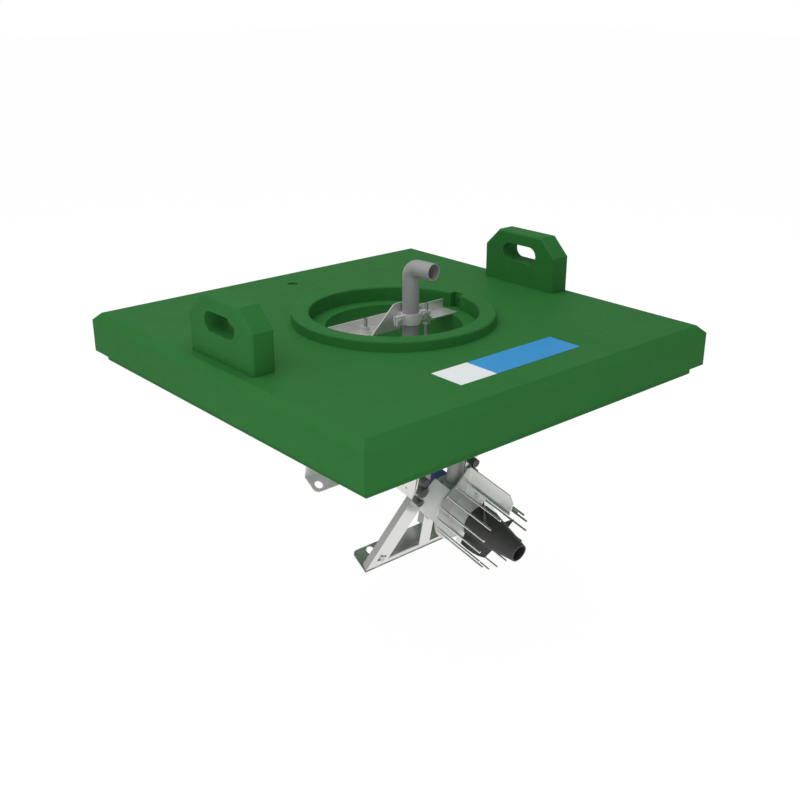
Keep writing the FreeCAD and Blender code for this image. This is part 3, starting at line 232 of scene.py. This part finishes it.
for part in frame["record"]["subparts"]:
    dress(part["node"], MATERIALS[part["material_slot"]])
for material, names in ((THREAD, ("hanger_rod_left", "hanger_rod_right")),
                        (CLAMP, ("clamp_front", "clamp_rear")),
                        (ROD, ("guard_rods",)),
                        (RING, ("guard_ring",)),
                        (FRAME, ("front_frame",)),
                        (PAINTED_BRIGHT_FIN, ("upper_fin", "lower_fin"))):
    for name in names:
        dress(name, material)


# Pieces drawn here

def new_piece(name, mesh, material, body):
    obj = bpy.data.objects.new(name, mesh)
    bpy.context.collection.objects.link(obj)
    obj.data.materials.append(material)
    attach(obj, body)


def plate_mesh(name, points, thickness):
    """A thin plate with the given outline."""
    bm = bmesh.new()
    low = [bm.verts.new(p) for p in points]
    face = bm.faces.new(low)
    if face.normal.z < 0:
        face.normal_flip()
    grown = bmesh.ops.extrude_face_region(bm, geom=[face])
    top = [v for v in grown["geom"] if isinstance(v, bmesh.types.BMVert)]
    bmesh.ops.translate(bm, verts=top, vec=(0, 0, thickness))
    bmesh.ops.recalc_face_normals(bm, faces=bm.faces)
    mesh = bpy.data.meshes.new(name)
    bm.to_mesh(mesh)
    bm.free()
    return mesh


def rounded_rectangle(x0, y0, x1, y1, z, radius, steps=6):
    points = []
    for cx, cy, start in ((x1 - radius, y1 - radius, 0), (x0 + radius, y1 - radius, 90),
                          (x0 + radius, y0 + radius, 180), (x1 - radius, y0 + radius, 270)):
        for step in range(steps + 1):
            angle = math.radians(start + 90 * step / steps)
            points.append((cx + radius * math.cos(angle), cy + radius * math.sin(angle), z))
    return points


BLUE_FROM = -0.088      # where the label's blue begins, along X


def label_material():
    """A plain label in two tones, white to the left and blue to the right."""
    n = Nodes("plain_label")
    axes = n.new("ShaderNodeSeparateXYZ")
    n.link(n.place, axes.inputs["Vector"])
    blue_side = n.new("ShaderNodeMath", operation="GREATER_THAN")
    n.link(axes.outputs["X"], blue_side.inputs[0])
    blue_side.inputs[1].default_value = BLUE_FROM
    tone = n.ramp(blue_side.outputs["Value"], (0.0, (0.93, 0.97, 0.98)),
                  (1.0, (0.022, 0.32, 0.72)))
    n.set(base_color=tone, roughness=0.4, normal=n.bump(n.noise(180, 2), 0.00002),
          specular_ior_level=0.3)
    return n.material


LABEL_OUTLINE = rounded_rectangle(-0.191, -0.428, 0.178, -0.338, DECK_TOP, 0.002)
new_piece("deck_label", plate_mesh("deck_label", LABEL_OUTLINE, 0.0006),
          label_material(), "frame_and_float")


def band_mesh(name, inner, outer, low, high, start, end, steps=40):
    """A band about the pump's axis, from one angle to another, in the model's frame."""
    bm = bmesh.new()
    rings = []
    for step in range(steps + 1):
        angle = math.radians(start + (end - start) * step / steps)
        way = SIDE * math.cos(angle) + UP * math.sin(angle)
        rings.append([bm.verts.new(PUMP_PLACE + way * radius + FORWARD * along)
                      for radius, along in ((inner, low), (outer, low),
                                            (outer, high), (inner, high))])
    for near, far in zip(rings, rings[1:]):
        for side in range(4):
            bm.faces.new((near[side], near[(side + 1) % 4],
                          far[(side + 1) % 4], far[side]))
    bm.faces.new(rings[0])
    bm.faces.new(rings[-1][::-1])
    bmesh.ops.recalc_face_normals(bm, faces=bm.faces)
    mesh = bpy.data.meshes.new(name)
    bm.to_mesh(mesh)
    bm.free()
    return mesh


WRAP_THICKNESS = 0.0003
wrap = Nodes("motor_wrap")
wrap.set(base_color=(0.14, 0.11, 0.50, 1), roughness=0.4,
         normal=wrap.bump(wrap.noise(200, 2), 0.00002))
for name, radius, low, high in (("motor_wrap", 0.0479, -0.100, -0.0255),
                                ("flange_wrap", 0.0500, -0.0245, -0.0135)):
    new_piece(name, band_mesh(name, radius, radius + WRAP_THICKNESS, low, high, 20, 160),
              wrap.material, "frame_and_float")


# Stage, light and camera

def make_floor():
    """White with a soft shadow from above, and clear from below, to show the underside."""
    bpy.ops.mesh.primitive_plane_add(size=60, location=(0, 0, FLOOR_HEIGHT))
    floor = bpy.context.object
    floor.name = "floor"
    n = Nodes("floor_white")
    path = n.new("ShaderNodeLightPath")
    seen = n.new("ShaderNodeMath", operation="MAXIMUM")
    n.link(path.outputs["Is Camera Ray"], seen.inputs[0])
    n.link(path.outputs["Is Glossy Ray"], seen.inputs[1])
    share = n.new("ShaderNodeMath", operation="MULTIPLY")
    n.link(seen.outputs["Value"], share.inputs[0])
    share.inputs[1].default_value = FLOOR_GLOW_SHARE
    glow = n.new("ShaderNodeEmission")
    glow.inputs["Color"].default_value = (1, 1, 1, 1)
    glow.inputs["Strength"].default_value = FLOOR_GLOW
    mix = n.new("ShaderNodeMixShader")
    n.set(base_color=(0.9, 0.9, 0.9, 1), roughness=0.9)
    n.link(share.outputs["Value"], mix.inputs["Fac"])
    n.link(n.shader.outputs["BSDF"], mix.inputs[1])
    n.link(glow.outputs["Emission"], mix.inputs[2])
    under = n.new("ShaderNodeMath", operation="MULTIPLY")
    n.link(n.new("ShaderNodeNewGeometry").outputs["Backfacing"], under.inputs[0])
    n.link(path.outputs["Is Camera Ray"], under.inputs[1])
    both = n.new("ShaderNodeMixShader")
    n.link(under.outputs["Value"], both.inputs["Fac"])
    n.link(mix.outputs["Shader"], both.inputs[1])
    n.link(n.new("ShaderNodeBsdfTransparent").outputs["BSDF"], both.inputs[2])
    n.link(both.outputs["Shader"], n.tree.nodes["Material Output"].inputs["Surface"])
    floor.data.materials.append(n.material)


def make_world():
    """White as seen, and dimmer high up, as in a studio with a dark ceiling."""
    world = bpy.data.worlds.new("studio")
    world.use_nodes = True
    tree = world.node_tree

    def maths(kind, first, second):
        node = tree.nodes.new("ShaderNodeMath")
        node.operation = kind
        for socket, value in zip(node.inputs, (first, second)):
            if isinstance(value, bpy.types.NodeSocket):
                tree.links.new(value, socket)
            else:
                socket.default_value = value
        return node.outputs["Value"]

    path = tree.nodes.new("ShaderNodeLightPath")
    place = tree.nodes.new("ShaderNodeTexCoord")
    axes = tree.nodes.new("ShaderNodeSeparateXYZ")
    tree.links.new(place.outputs["Generated"], axes.inputs["Vector"])
    sky = tree.nodes.new("ShaderNodeMapRange")
    sky.interpolation_type = "SMOOTHSTEP"
    sky.inputs["From Min"].default_value = 0.02
    sky.inputs["From Max"].default_value = 0.20
    sky.inputs["To Min"].default_value = 1.0
    sky.inputs["To Max"].default_value = CEILING_LIGHT
    tree.links.new(axes.outputs["Z"], sky.inputs["Value"])
    glossy = maths("MULTIPLY", path.outputs["Is Glossy Ray"], sky.outputs["Result"])
    shown = maths("MAXIMUM", path.outputs["Is Camera Ray"], glossy)
    rest = maths("SUBTRACT", 1.0, maths("MAXIMUM", path.outputs["Is Camera Ray"],
                                        path.outputs["Is Glossy Ray"]))
    strength = maths("ADD", shown, maths("MULTIPLY", rest, ROOM_LIGHT))
    back = tree.nodes["Background"]
    back.inputs["Color"].default_value = (1, 1, 1, 1)
    tree.links.new(strength, back.inputs["Strength"])
    bpy.context.scene.world = world


def area_light(name, place, target, size, power):
    data = bpy.data.lights.new(name, "AREA")
    data.shape = "SQUARE"
    data.size = size
    data.energy = power
    obj = bpy.data.objects.new(name, data)
    bpy.context.collection.objects.link(obj)
    obj.location = place
    way = Vector(target) - Vector(place)
    obj.rotation_euler = way.to_track_quat("-Z", "Y").to_euler()


def make_camera():
    data = bpy.data.cameras.new("camera")
    data.sensor_width = SENSOR_WIDTH
    data.lens = FOCAL_PIXELS / IMAGE_PIXELS * SENSOR_WIDTH
    data.clip_end = 200
    obj = bpy.data.objects.new("camera", data)
    bpy.context.collection.objects.link(obj)
    turn = Matrix([[CAMERA_RIGHT[i], -CAMERA_DOWN[i], -CAMERA_AHEAD[i]] for i in range(3)])
    obj.matrix_world = Matrix.Translation(CAMERA_PLACE) @ turn.to_4x4()
    bpy.context.scene.camera = obj


make_floor()
make_world()
area_light("key", (-1.1, 0.1, 3.1), (0, 0, 0), 4.8, 86)
area_light("fill", (-1.3, -2.3, -0.6), (0, -0.2, -0.25), 1.6, 17)
area_light("left", (-2.2, -0.8, -0.1), (0, -0.2, -0.25), 1.2, 4)
make_camera()
bpy.context.scene.view_settings.view_transform = "Standard"
